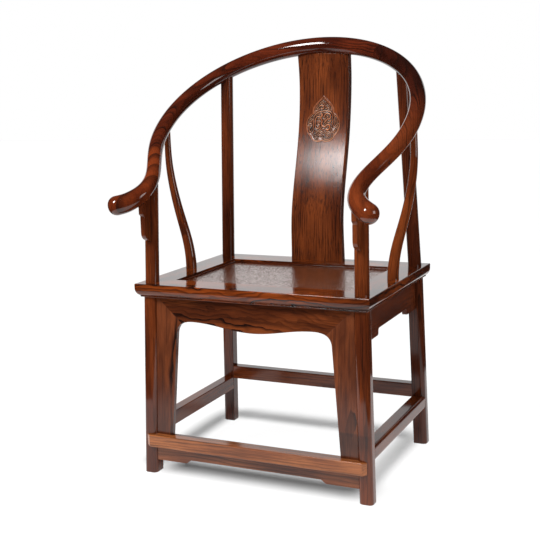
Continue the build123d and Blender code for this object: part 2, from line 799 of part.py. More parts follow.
def splat_layer(front_depth, back_depth):
    """Face in the YZ plane between two depths behind the front of the splat."""
    steps = 16
    edges = []
    for depth in (front_depth, back_depth):
        points = []
        for i in range(steps + 1):
            heading = splat_front % (i / steps)
            points.append(splat_front @ (i / steps) + Vector(heading.Y, -heading.X) * depth)
        edges.append(Spline(*points))
    front, back = edges
    return Plane.YZ * make_face([front, back, Line(front @ 0, back @ 0), Line(front @ 1, back @ 1)])


splat_half = splat_width / 2
splat_middle_z = (seat_height + crest.Z) / 2
splat_top_z = crest.Z + rail_crest_dia / 2
splat_outline = make_face([
    Line((-splat_half, seat_height), (splat_half, seat_height)),
    ThreePointArc((splat_half, seat_height), (splat_half - splat_draw_in, splat_middle_z),
                  (splat_half, splat_top_z)),
    Line((splat_half, splat_top_z), (-splat_half, splat_top_z)),
    ThreePointArc((-splat_half, splat_top_z), (-splat_half + splat_draw_in, splat_middle_z),
                  (-splat_half, seat_height)),
])
splat = extrude(splat_layer(0, splat_thick), amount=splat_width, both=True)
splat &= extrude(Plane.XZ * splat_outline, amount=far, both=True)
long_edges = splat.edges().filter_by(lambda edge: edge.length > splat_middle_z - seat_height)
splat = fillet(long_edges, splat_edge_round)

# The sunk ground of the carved medallion, a pointed leaf with five lobes
half_high = medallion_height / 2
half_wide = medallion_width / 2
leaf = make_face([
    Spline((0, half_high), (medallion_notch_x, medallion_notch_rise),
           tangents=[(0.4, -1), (-0.1, -1)]),
    ThreePointArc((medallion_notch_x, medallion_notch_rise), (half_wide, -medallion_lobe_drop),
                  (medallion_cusp_x, -medallion_cusp_drop)),
    ThreePointArc((medallion_cusp_x, -medallion_cusp_drop),
                  (medallion_foot_x, -medallion_foot_drop), (0, -medallion_cleft_drop)),
    Line((0, -medallion_cleft_drop), (0, half_high)),
])
leaf = Pos(0, medallion_middle_z) * (leaf + mirror(leaf, Plane.YZ))
leaf_column = extrude(Plane.XZ * leaf, amount=-far)
splat_core = extrude(
    splat_layer(medallion_depth, 2 * splat_thick), amount=splat_width, both=True)
splat -= leaf_column - splat_core

splat -= rail_envelope
foot_middle = splat_seat_y + splat_thick / 2
tenon_x = (-splat_tenon_width / 2, splat_tenon_width / 2)
foot_tenon = block(
    tenon_x,
    (foot_middle - splat_tenon_thick / 2, foot_middle + splat_tenon_thick / 2),
    (seat_height - splat_tenon_length, seat_height + splat_tenon_length),
)
head_tenon = block(
    tenon_x,
    (crest.Y - splat_tenon_thick / 2, crest.Y + splat_tenon_thick / 2),
    (crest.Z - rail_crest_dia, crest.Z - rail_crest_dia / 2 + splat_tenon_length),
)
parts["back_splat"] = splat + foot_tenon + head_tenon
rail_holes.append(head_tenon)
parts["seat_rail_rear"] -= foot_tenon

# ---------------------------------------------------------------- final cuts

for place, cuts in leg_cuts.items():
    for cut in cuts:
        parts[leg_names[place]] -= cut

for name, piece in rail_pieces.items():
    for cut in rail_holes + wedges:
        piece -= cut
    parts[name] = piece
parts["rail_wedges"] = Compound(children=wedges)

os.makedirs("parts", exist_ok=True)
for name, shape in parts.items():
    export_step(shape, f"parts/{name}.step")
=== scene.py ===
import math

import bpy
import numpy as np
from mathutils import Matrix, Vector
from mathutils.bvhtree import BVHTree


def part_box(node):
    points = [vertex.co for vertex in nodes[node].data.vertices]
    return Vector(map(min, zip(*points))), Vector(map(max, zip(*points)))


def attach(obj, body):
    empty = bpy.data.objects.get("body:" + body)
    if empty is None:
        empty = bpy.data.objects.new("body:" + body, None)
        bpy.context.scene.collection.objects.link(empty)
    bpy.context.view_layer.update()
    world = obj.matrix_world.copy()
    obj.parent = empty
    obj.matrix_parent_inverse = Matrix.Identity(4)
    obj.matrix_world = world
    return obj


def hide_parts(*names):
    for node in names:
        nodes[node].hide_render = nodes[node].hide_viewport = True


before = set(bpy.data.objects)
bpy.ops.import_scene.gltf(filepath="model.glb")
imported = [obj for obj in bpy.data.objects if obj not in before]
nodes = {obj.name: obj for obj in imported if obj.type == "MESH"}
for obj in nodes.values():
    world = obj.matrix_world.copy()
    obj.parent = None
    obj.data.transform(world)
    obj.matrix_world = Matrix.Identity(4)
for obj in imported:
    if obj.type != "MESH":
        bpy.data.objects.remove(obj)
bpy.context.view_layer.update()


# Legs and posts
# Each leg and the post above it are one length of rosewood that passes through the seat
# frame. The grain runs the whole length, with straight dark stripes, under clear lacquer.

class Wire:
    """An output of the shader graph; arithmetic on it adds Math nodes."""

    def __init__(self, graph, socket):
        self.graph = graph
        self.socket = socket

    def math(self, operation, *values):
        return self.graph.node("ShaderNodeMath", {"operation": operation}, values)

    def __add__(self, other):
        return self.math("ADD", self, other)

    def __radd__(self, other):
        return self.math("ADD", other, self)

    def __sub__(self, other):
        return self.math("SUBTRACT", self, other)

    def __rsub__(self, other):
        return self.math("SUBTRACT", other, self)

    def __mul__(self, other):
        return self.math("MULTIPLY", self, other)

    def __rmul__(self, other):
        return self.math("MULTIPLY", other, self)

    def __truediv__(self, other):
        return self.math("DIVIDE", self, other)

    def __rtruediv__(self, other):
        return self.math("DIVIDE", other, self)

    def __pow__(self, other):
        return self.math("POWER", self, other)

    def at_least(self, low):
        return self.math("MAXIMUM", self, low)

    def clamp(self):
        return self.math("MINIMUM", self.at_least(0.0), 1.0)

    def rise(self, start, stop):
        """0 before start and 1 after stop, with a soft step between them."""
        return self.graph.node("ShaderNodeMapRange", {"interpolation_type": "SMOOTHSTEP"},
                               {0: self, 1: start, 2: stop, 3: 0.0, 4: 1.0})


class Graph:
    """The shader graph of a material or of the studio's sky."""

    def __init__(self, owner):
        self.owner = owner
        owner.use_nodes = True
        self.tree = owner.node_tree
        self.tree.nodes.clear()

    def node(self, kind, settings=None, inputs=(), output=0):
        """Adds a node: its settings first, then its sockets' values or links."""
        node = self.tree.nodes.new(kind)
        for key, value in (settings or {}).items():
            setattr(node, key, value)
        pairs = inputs.items() if isinstance(inputs, dict) else enumerate(inputs)
        for key, value in pairs:
            if isinstance(value, Wire):
                self.tree.links.new(value.socket, node.inputs[key])
            else:
                node.inputs[key].default_value = value
        return Wire(self, node.outputs[output]) if len(node.outputs) else None

    def place(self):
        """Where the surface is, in the piece's own metres."""
        return self.node("ShaderNodeTexCoord", output=3)

    def stretch(self, vector, by):
        """A vector with each of its directions stretched by a number of its own."""
        return self.node("ShaderNodeVectorMath", {"operation": "MULTIPLY"}, [vector, by])

    def dot(self, vector, direction):
        return self.node("ShaderNodeVectorMath", {"operation": "DOT_PRODUCT"},
                         [vector, direction], output=1)

    def join(self, x, y, z):
        return self.node("ShaderNodeCombineXYZ", inputs=[x, y, z])

    def noise(self, vector, detail=2.0, roughness=0.5):
        return self.node("ShaderNodeTexNoise", {"noise_dimensions": "3D"},
                         {"Vector": vector, "Scale": 1.0, "Detail": detail,
                          "Roughness": roughness})

    def blend(self, share, first, second):
        """The first colour, with a share of the second laid over it."""
        return self.node("ShaderNodeMix", {"data_type": "RGBA", "blend_type": "MIX"},
                         {0: share, 6: first, 7: second}, output=2)

    def finish(self, **inputs):
        """Ends the graph in one lacquered surface."""
        surface = self.node("ShaderNodeBsdfPrincipled", inputs={
            key.replace("_", " "): value for key, value in inputs.items()})
        self.node("ShaderNodeOutputMaterial", inputs=[surface])
        return self.owner


def colour(red, green, blue):
    """A screen colour, 0 to 255, as the linear colour that a shader takes."""
    return [((c / 255 + 0.055) / 1.055) ** 2.4 if c > 10 else c / 255 / 12.92
            for c in (red, green, blue)] + [1.0]


RED_BROWN = colour(84, 34, 14)
ORANGE_BROWN = colour(122, 58, 25)
DARK_VEIN = colour(26, 10, 6)
PALE_BROWN = colour(126, 58, 28)
PALE_SHARE = 0.75
FAINT_RING = 0.22
PORE_SHADE = 0.35
SOFT_EDGE = 0.0012
GRAIN_RELIEF = 0.0004


def rosewood(name, heart, along, ring_gap=0.0055, wander=0.010, ground=RED_BROWN,
             bright=ORANGE_BROWN, veins=0.8, streaks=0.5, gloss=0.12, ior=1.5,
             waves=2.6, steady=0.0, pale_below=None, seed=0.0):
    """Lacquered rosewood sawn from one plank.

    heart is a point of the tree's heart line and along the direction of the grain, so the
    growth rings run as they do in solid wood and every cut face shows its own figure.
    wander is how far the rings stray, waves how often they swing per metre and steady how
    evenly all of them are drawn. pale_below gives two heights between which the wood turns
    paler downwards.
    """
    graph = Graph(bpy.data.materials.new(name))
    grain = Vector(along).normalized()
    side = grain.orthogonal().normalized()
    depth = grain.cross(side)
    place = graph.node("ShaderNodeVectorMath", {"operation": "SUBTRACT"},
                       [graph.place(), tuple(heart)])
    u = graph.dot(place, tuple(grain)) + seed
    v = graph.dot(place, tuple(side))
    w = graph.dot(place, tuple(depth))

    def figure(per_metre, across_per_metre, detail=2.0, roughness=0.5):
        """Cloudy noise drawn out along the grain, so many clouds per metre each way."""
        return graph.noise(graph.join(u * per_metre, v * across_per_metre,
                                      w * across_per_metre), detail, roughness)

    # Growth rings round the heart, each with a dark late edge, some strong and some faint.
    drift = figure(waves, 11.0, detail=3.0) - 0.5
    curl = figure(11.0, 40.0) - 0.5
    from_heart = (v * v + w * w) ** 0.5 + drift * (wander * 4) + curl * (wander * 0.6)
    rings = from_heart / ring_gap
    ring = rings.math("FLOOR", rings)
    part = rings - ring
    chance = graph.node("ShaderNodeTexWhiteNoise", {"noise_dimensions": "1D"},
                        {"W": ring + seed * 7.0})
    strong = chance.rise(0.35, 0.85)
    late = part.rise(0.30, 0.88) * (1.0 - part.rise(0.93, 1.0))
    fading = figure(3.0, 25.0).rise(0.32, 0.56)
    drawn = FAINT_RING + (1 - FAINT_RING) * (strong * fading).at_least(steady)
    vein = late * drawn * veins

    # The wood between them: cloudy patches, dark streaks, fine fibres and open pores.
    streak = figure(7.0, 300.0, detail=3.0, roughness=0.62)
    fibre = figure(24.0, 900.0, detail=3.0, roughness=0.6)
    pores = figure(70.0, 2400.0, detail=1.0).rise(0.62, 0.70)
    patch = figure(4.0, 16.0, detail=3.0).rise(0.36, 0.64)
    wood = graph.blend(patch, ground, bright)
    if pale_below:
        height = graph.dot(graph.place(), (0, 0, 1))
        wood = graph.blend((1.0 - height.rise(*pale_below)) * PALE_SHARE, wood, PALE_BROWN)
    wood = graph.blend((fibre - 0.5) * 0.9 + 0.15, wood, DARK_VEIN)
    wood = graph.blend(streak.rise(0.46, 0.70) * streaks, wood, DARK_VEIN)
    wood = graph.blend(vein.clamp(), wood, DARK_VEIN)
    wood = graph.blend(pores * PORE_SHADE, wood, DARK_VEIN)
    eased = graph.node("ShaderNodeBevel", {"samples": 4}, {"Radius": SOFT_EDGE})
    normal = graph.node("ShaderNodeBump", inputs={
        "Strength": 0.05, "Distance": GRAIN_RELIEF, "Height": fibre * 0.4 - pores * 0.5,
        "Normal": eased})
    return graph.finish(Base_Color=wood, Roughness=gloss + (streak - 0.5) * (gloss * 0.8),
                        Normal=normal, IOR=ior)


def dress(node, material):
    """Gives a piece of the frame its finish."""
    piece = nodes[node]
    piece.data.materials.clear()
    piece.data.materials.append(material)


def middle_of(node):
    """The middle of a piece's box."""
    low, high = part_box(node)
    return (low + high) / 2


sides = {"left": -1, "right": 1}
for side_name, side in sides.items():
    heart = middle_of(f"front_leg_{side_name}") + Vector((0.05 * side, 0.09, 0))
    dress(f"front_leg_{side_name}", rosewood(
        f"front_leg_wood_{side_name}", heart, (0.01, 0.02, 1), ring_gap=0.006,
        ground=colour(78, 32, 13), bright=colour(116, 54, 23), veins=0.8, gloss=0.08,
        waves=4.0, seed=3.1 + side))
    heart = middle_of(f"rear_leg_{side_name}") + Vector((0.07 * side, -0.05, 0))
    dress(f"rear_leg_{side_name}", rosewood(
        f"rear_leg_wood_{side_name}", heart, (0.02, -0.01, 1), ring_gap=0.005,
        ground=colour(64, 26, 12), bright=colour(94, 42, 19), veins=0.8, ior=1.4,
        waves=4.0, seed=8.3 + side))


# S-curved side posts
# Two slender posts sawn to an S from one board each, so the straight grain runs out
# along the curve; round tenons hold them in the side seat rails and under the rail.

for side_name, side in sides.items():
    heart = middle_of(f"side_post_{side_name}") + Vector((0.02, 0.08, 0))
    dress(f"side_post_{side_name}", rosewood(
        f"side_post_wood_{side_name}", heart, (0.16 * side, 0, 1), ring_gap=0.005,
        veins=0.7, gloss=0.05, ior=1.6, seed=12.7 + side))


# Horseshoe rail
# Five lengths of dense red wood, each sawn to its curve from a straight plank, lapped,
# locked with tapered pegs and rubbed to one smooth round. Rings cross the arms in arcs.

RAIL_TILT = math.radians(34.8)
rail_up = Vector((0, -math.sin(RAIL_TILT), math.cos(RAIL_TILT)))
CREST_MIDDLE = Vector((0.0, 0.2676, 1.0358))
RAIL_STEP = 0.005
RING_RAYS = 32
RING_FITS = 4
RING_REACH = 0.045              # past the rail's surface, but short of any other piece
RING_MISS = 0.0002              # a point this near the round is always kept
HAND_BEGINS = 0.93              # where a section is this much slimmer, the round end begins
HAND_FULLNESS = 2.1             # 2 makes the round end a ball, and more makes it blunter
HAND_STRETCH = {"left": 0.012, "right": 0.009}
HAND_CURL = {"left": 0.14, "right": 0.0}    # how much a hand turns up at each step
STRETCH_STEPS = 3
HAND_SWELL = 0.10               # share that a hand is fuller at its tip
SWELL_LENGTH = 0.10
TIP_LOOK = 0.1                  # how far ahead of the last section the tip is looked for
# The lap joints along the rail from the middle of the crest, on its upper and lower half.
LAPS_ABOVE = (-0.637, -0.174, 0.174, 0.637)
LAPS_BELOW = (-0.699, -0.112, 0.112, 0.699)
SKIN_SIDES = 48
DOME_RINGS = 12
DOME_CLOSE = 12.15              # a little over DOME_RINGS, so the last ring isn't a point
rail_planks = {
    "arm_rail_left": dict(
        heart=(-0.07, -0.34, 0.66), along=(-0.05, -0.10, 1), ring_gap=0.034, wander=0.003,
        ground=colour(74, 26, 10), bright=colour(112, 46, 18), steady=0.6, seed=43.0),
    "shoulder_rail_left": dict(
        heart=(-0.36, 0.10, 0.80), along=(-0.45, -0.75, -0.48), ring_gap=0.006,
        wander=0.010, ground=colour(56, 18, 8), bright=colour(90, 34, 15), seed=35.0),
    "crest_rail": dict(
        heart=(0.0, 0.20, 1.10), along=(1, 0.05, -0.03), ring_gap=0.007, wander=0.010,
        ground=colour(56, 18, 9), bright=colour(92, 35, 17), seed=31.0),
    "shoulder_rail_right": dict(
        heart=(0.40, 0.12, 0.84), along=(0.45, -0.75, -0.48), ring_gap=0.006,
        wander=0.010, ground=colour(36, 11, 6), bright=colour(68, 24, 12),
        pale_below=(0.80, 0.93), seed=39.0),
    "arm_rail_right": dict(
        heart=(0.20, -0.10, 0.52), along=(0.25, -0.75, -0.50), ring_gap=0.009,
        wander=0.005, ground=colour(84, 33, 14), bright=colour(118, 52, 23), seed=61.0),
}


def solids_tree(names):
    """The surfaces of some CAD nodes, for rays to meet."""
    vertices = []
    faces = []
    for name in names:
        mesh = nodes[name].data
        start = len(vertices)
        vertices += [vertex.co.copy() for vertex in mesh.vertices]
        faces += [[start + i for i in face.vertices] for face in mesh.polygons]
    return BVHTree.FromPolygons(vertices, faces)


rail_solid = solids_tree(rail_planks)


def rail_ring(place, heading):
    """Centre and radius of the rail's round section there, or None past its end."""
    across = rail_up.cross(heading).normalized()
    met = []
    for k in range(RING_RAYS):
        angle = 2 * math.pi * k / RING_RAYS
        out = rail_up * math.cos(angle) + across * math.sin(angle)
        hit = rail_solid.ray_cast(place + out * RING_REACH, -out, RING_REACH)[0]
        if hit:
            met.append(((hit - place).dot(rail_up), (hit - place).dot(across)))
    if len(met) < RING_RAYS // 2:
        return None
    met = np.array(met)
    # The round is fitted again without the points that miss it, such as those on a lap.
    for attempt in range(RING_FITS):
        fit = np.linalg.lstsq(np.c_[2 * met, np.ones(len(met))], (met ** 2).sum(1),
                              rcond=None)[0]
        radius = math.sqrt(fit[2] + fit[0] ** 2 + fit[1] ** 2)
        miss = np.abs(np.hypot(met[:, 0] - fit[0], met[:, 1] - fit[1]) - radius)
        met = met[miss <= max(RING_MISS, 2.5 * float(np.median(miss)))]
    return place + rail_up * float(fit[0]) + across * float(fit[1]), radius


def follow_rail(side_name):
    """Sections from the middle of the crest to one hand, then the place of its tip.

    The carver leaves the hands a little longer and fuller than the length of rail.
    """
    heading = Vector((sides[side_name], 0, 0))
    centre, radius = rail_ring(CREST_MIDDLE, heading)
    sections = [(centre, radius)]
    chord = heading
    while True:
        ring = rail_ring(centre + heading * RAIL_STEP, heading)
        if ring is None or ring[1] < HAND_BEGINS * radius:
            break
        # The next section is looked for where the rail goes if it turns on as it did.
        last_chord = chord
        chord = (ring[0] - centre).normalized()
        heading = (chord * 1.5 - last_chord * 0.5).normalized()
        centre, radius = ring
        sections.append(ring)
    tip = rail_solid.ray_cast(centre + heading * TIP_LOOK, -heading, TIP_LOOK)[0]
    while (tip - sections[-1][0]).length < sections[-1][1]:
        sections.pop()
    ahead = (sections[-1][0] - sections[-3][0]).normalized()
    for step in range(STRETCH_STEPS):
        ahead = (ahead + Vector((0, 0, HAND_CURL[side_name]))).normalized()
        more = ahead * HAND_STRETCH[side_name] / STRETCH_STEPS
        sections.append((sections[-1][0] + more, sections[-1][1]))
        tip = tip + more
    return sections, tip


sections_right, tip_right = follow_rail("right")
sections_left, tip_left = follow_rail("left")
sections = sections_left[:0:-1] + sections_right
line = np.array([tuple(centre) for centre, radius in sections])
thick = np.array([radius for centre, radius in sections])


def smooth(values, width=9):
    """A running mean that keeps both ends."""
    half = width // 2
    padded = np.concatenate([[2 * values[0] - v for v in values[half:0:-1]], values,
                             [2 * values[-1] - v for v in values[-2:-half - 2:-1]]])
    return np.convolve(padded, np.ones(width) / width, "valid")


line = np.stack([smooth(line[:, k]) for k in range(3)], axis=1)
thick = smooth(thick)
run = np.concatenate([[0], np.cumsum(np.linalg.norm(np.diff(line, axis=0), axis=1))])
run -= run[len(sections_left) - 1]

cuts = sorted([run[0], run[-1], *LAPS_ABOVE, *LAPS_BELOW])
stations = []
for start, stop in zip(cuts, cuts[1:]):
    count = max(1, round((stop - start) / RAIL_STEP))
    stations += list(np.linspace(start, stop, count, endpoint=False))
stations.append(run[-1])
points = np.stack([np.interp(stations, run, line[:, k]) for k in range(3)], axis=1)
radii = np.interp(stations, run, thick)
from_tip = np.minimum(np.array(stations) - stations[0], stations[-1] - np.array(stations))
swell = np.clip(1 - from_tip / SWELL_LENGTH, 0, 1)
radii *= 1 + HAND_SWELL * swell ** 2 * (3 - 2 * swell)
headings = np.gradient(points, axis=0)
headings /= np.linalg.norm(headings, axis=1)[:, None]

rings = []
for point, radius, heading in zip(points, radii, headings):
    rings.append((Vector(point), float(radius), Vector(heading)))
for end, tip, outward in ((0, tip_left, -1), (-1, tip_right, 1)):
    centre, radius, heading = rings[end]
    height = abs((tip - centre).dot(heading))
    dome = []
    for k in range(1, DOME_RINGS + 1):
        share = math.sin(math.pi / 2 * k / DOME_CLOSE)
        slim = (1 - share ** HAND_FULLNESS) ** (1 / HAND_FULLNESS)
        dome.append((centre + heading * outward * height * share, radius * slim, heading))
    rings = rings + dome if outward > 0 else dome[::-1] + rings
run_of_ring = [stations[0]] * DOME_RINGS + stations + [stations[-1]] * DOME_RINGS

skin_points = []
for centre, radius, heading in rings:
    across = rail_up.cross(heading).normalized()
    over = heading.cross(across)
    for k in range(SKIN_SIDES):
        angle = 2 * math.pi * k / SKIN_SIDES
        out = over * math.cos(angle) + across * math.sin(angle)
        skin_points.append(centre + out * radius)

# Faces of the whole skin, each with its place along the rail and round it. The ends are
# closed by one face each, past the last lap on its side.
skin_faces = [tuple(range(SKIN_SIDES))]
face_runs = [(-1.0, 0)]
for j in range(len(rings) - 1):
    for k in range(SKIN_SIDES):
        following = (k + 1) % SKIN_SIDES
        skin_faces.append(((j + 1) * SKIN_SIDES + k, (j + 1) * SKIN_SIDES + following,
                           j * SKIN_SIDES + following, j * SKIN_SIDES + k))
        face_runs.append(((run_of_ring[j] + run_of_ring[j + 1]) / 2, k))
last = (len(rings) - 1) * SKIN_SIDES
skin_faces.append(tuple(range(last, last + SKIN_SIDES))[::-1])
face_runs.append((1.0, 0))
uncut = bpy.data.meshes.new("uncut_rail")
uncut.from_pydata(skin_points, [], skin_faces)
uncut.update()
skin_normals = [vertex.normal.copy() for vertex in uncut.vertices]
bpy.data.meshes.remove(uncut)

for index, (node, plank) in enumerate(rail_planks.items()):
    used = {}
    faces = []
    for face, (place, k) in zip(skin_faces, face_runs):
        above = math.cos(2 * math.pi * (k + 0.5) / SKIN_SIDES) > 0
        laps = LAPS_ABOVE if above else LAPS_BELOW
        if sum(place > lap for lap in laps) == index:
            faces.append([used.setdefault(i, len(used)) for i in face])
    mesh = bpy.data.meshes.new(f"{node}_skin")
    mesh.from_pydata([skin_points[i] for i in used], [], faces)
    for face in mesh.polygons:
        face.use_smooth = True
    mesh.normals_split_custom_set_from_vertices([skin_normals[i] for i in used])
    skin = bpy.data.objects.new(f"{node}_skin", mesh)
    bpy.context.scene.collection.objects.link(skin)
    mesh.materials.append(rosewood(f"{node}_wood", veins=0.9, streaks=0.3, gloss=0.06,
                                   ior=1.6, **plank))
    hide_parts(node)
    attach(skin, "root")
dress("rail_wedges", rosewood(
    "wedge_wood", (0.0, 0.0, 0.9), (1, 0, 0), ring_gap=0.002, ground=colour(60, 22, 12),
    bright=colour(80, 30, 14), seed=51.0))


# Back splat
# One wide board, sawn and scraped to a long S, with straight dark-lined grain that runs
# up its height; the lacquer lies thinner here and shines more softly.

dress("back_splat", rosewood(
    "splat_wood", (0.30, 0.24, 0.75), (0.012, 0.05, 1), ring_gap=0.0042, wander=0.006,
    ground=colour(80, 34, 14), bright=colour(120, 58, 26), veins=1.0, streaks=0.8,
    gloss=0.15, seed=60.0))


# Carved medallion
# A five-lobed leaf cut into the splat, with a thin raised rim and a small dragon coiled
# among scrolls and two blossoms. It is carved from the same board, then lacquered.

LEAF_MIDDLE = 0.844             # height of its middle over the floor
LEAF_GRID = 0.0006
LEAF_ACROSS = (-0.0505, 0.0506)
LEAF_UPRIGHT = (-0.0605, 0.0684)
LEAF_FLOOR = -0.0019
FLOOR_PLAY = 0.0007             # the floor lies higher away from the strokes
FLOOR_RIPPLE = 0.00018
BANK_WIDTH = 0.0022             # from the leaf's edge down to its floor
RIM_HEIGHT = 0.00045
RIM_MIDDLE = 0.0002
RIM_HALF_WIDTH = 0.0012
RIM_FOOT = 0.00008
RIM_INNER = -0.0008
GROOVE_WIDTH = 0.0009
SKIRT = -0.0004                 # the carving's last points lie under the splat's face
POCKET_DEPTH = 0.0025           # of the leaf that is sunk in the splat itself
CUT_MIDDLE = 0.7                # the cut beside a stroke, in millimetres from its foot
CUT_WIDTH = 0.9
# The right half of the leaf's outline, in millimetres from its middle.
leaf_tip = (0.0, 60.0)
leaf_notch = (28.5, 16.0)
leaf_side = (47.0, -13.0)
leaf_cusp = (34.5, -42.5)
leaf_foot = (21.0, -56.5)
leaf_cleft = (0.0, -54.5)


def arc_through(first, middle, last, count=24):
    """Points of the circle's arc through three points."""
    (ax, ay), (bx, by), (cx, cy) = first, middle, last
    d = 2 * (ax * (by - cy) + bx * (cy - ay) + cx * (ay - by))
    x = ((ax * ax + ay * ay) * (by - cy) + (bx * bx + by * by) * (cy - ay)
         + (cx * cx + cy * cy) * (ay - by)) / d
    y = ((ax * ax + ay * ay) * (cx - bx) + (bx * bx + by * by) * (ax - cx)
         + (cx * cx + cy * cy) * (bx - ax)) / d
    radius = math.hypot(ax - x, ay - y)
    angles = [math.atan2(q - y, p - x) for p, q in (first, middle, last)]
    while angles[2] - angles[0] > math.pi * 1.3:
        angles[2] -= 2 * math.pi
    while angles[2] - angles[0] < -math.pi * 1.3:
        angles[2] += 2 * math.pi
    return [(x + radius * math.cos(angles[0] + (angles[2] - angles[0]) * i / count),
             y + radius * math.sin(angles[0] + (angles[2] - angles[0]) * i / count))
            for i in range(count + 1)]


def leaf_outline():
    """The closed outline of the leaf, in millimetres from its middle."""
    span = math.dist(leaf_tip, leaf_notch)
    start_slope = Vector((0.8, -1)).normalized() * span
    stop_slope = Vector((-0.3, -1)).normalized() * span * 1.2
    half = []
    runs = 30
    for i in range(runs):
        t = i / runs
        h = (2 * t ** 3 - 3 * t * t + 1, t ** 3 - 2 * t * t + t, 3 * t * t - 2 * t ** 3,
             t ** 3 - t * t)
        half.append(tuple(leaf_tip[k] * h[0] + start_slope[k] * h[1]
                          + leaf_notch[k] * h[2] + stop_slope[k] * h[3] for k in (0, 1)))
    half += arc_through(leaf_notch, leaf_side, leaf_cusp)
    half += arc_through(leaf_cusp, leaf_foot, leaf_cleft)[1:]
    return np.array(half + [(-x, z) for x, z in half[-2:0:-1]])


def curve_points(points):
    """A smooth line through a few points, finely divided."""
    points = [np.array(p, float) for p in points]
    ends = points[:1] + points + points[-1:]
    runs = 8
    fine = []
    for p0, p1, p2, p3 in zip(ends, ends[1:], ends[2:], ends[3:]):
        for i in range(runs):
            t = i / runs
            fine.append(0.5 * (2 * p1 + (p2 - p0) * t
                               + (2 * p0 - 5 * p1 + 4 * p2 - p3) * t * t
                               + (3 * p1 - p0 - 3 * p2 + p3) * t ** 3))
    return np.array(fine + [points[-1]])


def distance_to(line, x, z):
    """Distance of every grid point to a line of short runs."""
    nearest = np.full(x.shape, 1e9)
    for (ax, az), (bx, bz) in zip(line, line[1:]):
        length = (bx - ax) ** 2 + (bz - az) ** 2 + 1e-12
        t = np.clip(((x - ax) * (bx - ax) + (z - az) * (bz - az)) / length, 0, 1)
        away = np.hypot(x - ax - t * (bx - ax), z - az - t * (bz - az))
        nearest = np.minimum(nearest, away)
    return nearest


def loop(x, z, wide, high, start=0, stop=360):
    """Points of an oval or of a part of it."""
    return [(x + wide * math.cos(math.radians(a)), z + high * math.sin(math.radians(a)))
            for a in np.linspace(start, stop, 9)]


# Carved strokes, in millimetres: points from the leaf's middle, half width, rise over the
# floor. First the frame and side scrolls, then the dragon, the top scrolls, two blossoms
# and the ground below.
strokes = [
    ([(-25, -33), (-27.3, -16), (-27.3, -1.5), (-24.6, 10), (-17, 16.6), (-6.6, 20),
      (8, 21.4), (20.5, 18), (25.8, 9.7), (26.9, -1.5), (27.6, -14), (34, -21.4),
      (41, -19.5), (43, -11.7)], 1.3, 1.7),
    (loop(36, -4.5, 4.6, 12), 1.1, 1.5),
    ([(-42, -12.7), (-36, -11), (-31.5, -16), (-30, -25), (-24, -34)], 1.2, 1.6),
    (loop(-35.5, -25, 3.2, 7.5, 20, 380), 1.1, 1.5),
    ([(-40, -1), (-36, 5), (-30, 10)], 0.9, 1.1),
    ([(-42, -6), (-37, -1), (-32, 3)], 0.9, 1.1),
    ([(-11, 7), (-18, 6), (-22, -1), (-22.4, -12), (-20.5, -21.5), (-15, -25), (-9.5, -21),
      (-10.5, -15), (-15, -13)], 1.5, 1.9),
    ([(-15, -1), (-11, 3), (-6, 1)], 1.2, 1.5),
    ([(-6.6, 15), (-3, 10), (-7, 5), (-5, -1), (-3, -6), (-4.5, -12.5), (-0.2, -18.5),
      (6.2, -20), (10.5, -16), (16.5, -15), (19.5, -21), (15.5, -28), (9, -27)], 2.3, 2.4),
    ([(2, 5), (6, 13), (13, 14.5), (19.5, 10), (20, 2.5), (14.5, -0.5), (10.5, 3.5),
      (13, 7.5)], 1.7, 2.1),
    ([(12.5, 1), (8, -4), (3.5, -9)], 1.7, 2.0),
    ([(22, -3), (19, -8), (13, -9.5)], 1.5, 1.8),
    ([(-4, -20), (-8, -27), (-15, -32), (-20, -38)], 1.4, 1.8),
    ([(24, -22), (23, -29), (27, -34), (33, -33), (36, -28)], 1.3, 1.6),
    ([(-12, 33), (-7, 36), (-1, 34), (0.5, 29), (-4, 26.5), (-8, 28.5)], 1.5, 1.8),
    ([(6, 27), (13, 30), (18, 27)], 1.2, 1.4),
    ([(-20, 26), (-15, 30), (-10, 42), (-2, 47)], 1.0, 1.2),
    ([(3, 45), (9, 38), (17, 32)], 1.0, 1.2),
    (loop(-7.5, -41, 10.5, 9.5, 200, -20), 1.1, 1.7),
    (loop(-7.5, -41, 6.2, 5.6, 220, -40), 1.0, 1.5),
    (loop(-7.5, -42, 2.2, 2.0), 1.1, 1.5),
    (loop(14.5, -42, 11, 9.5, 200, -20), 1.1, 1.7),
    (loop(14.5, -42, 6.6, 5.6, 220, -40), 1.0, 1.5),
    (loop(14.5, -43, 2.4, 2.0), 1.1, 1.5),
    ([(-21, -43), (-17, -46), (-14, -50)], 1.2, 1.6),
    ([(-25, -40), (-23, -46), (-18, -51)], 1.1, 1.4),
    ([(4, -50), (10, -53), (20, -52), (27, -47)], 1.2, 1.6),
]

outline = leaf_outline()
xs = np.arange(*LEAF_ACROSS, LEAF_GRID)
zs = np.arange(*LEAF_UPRIGHT, LEAF_GRID)
grid_x, grid_z = np.meshgrid(xs, zs)
leaf_x, leaf_z = grid_x * 1000, grid_z * 1000
edge = distance_to(np.vstack([outline, outline[:1]]), leaf_x, leaf_z)
inside = np.zeros(leaf_x.shape, bool)
for (ax, az), (bx, bz) in zip(outline, np.roll(outline, -1, axis=0)):
    crosses = (az > leaf_z) != (bz > leaf_z)
    reach_x = ax + (leaf_z - az) * (bx - ax) / (bz - az + 1e-12)
    inside ^= crosses & (leaf_x < reach_x)
signed = np.where(inside, -edge, edge) / 1000

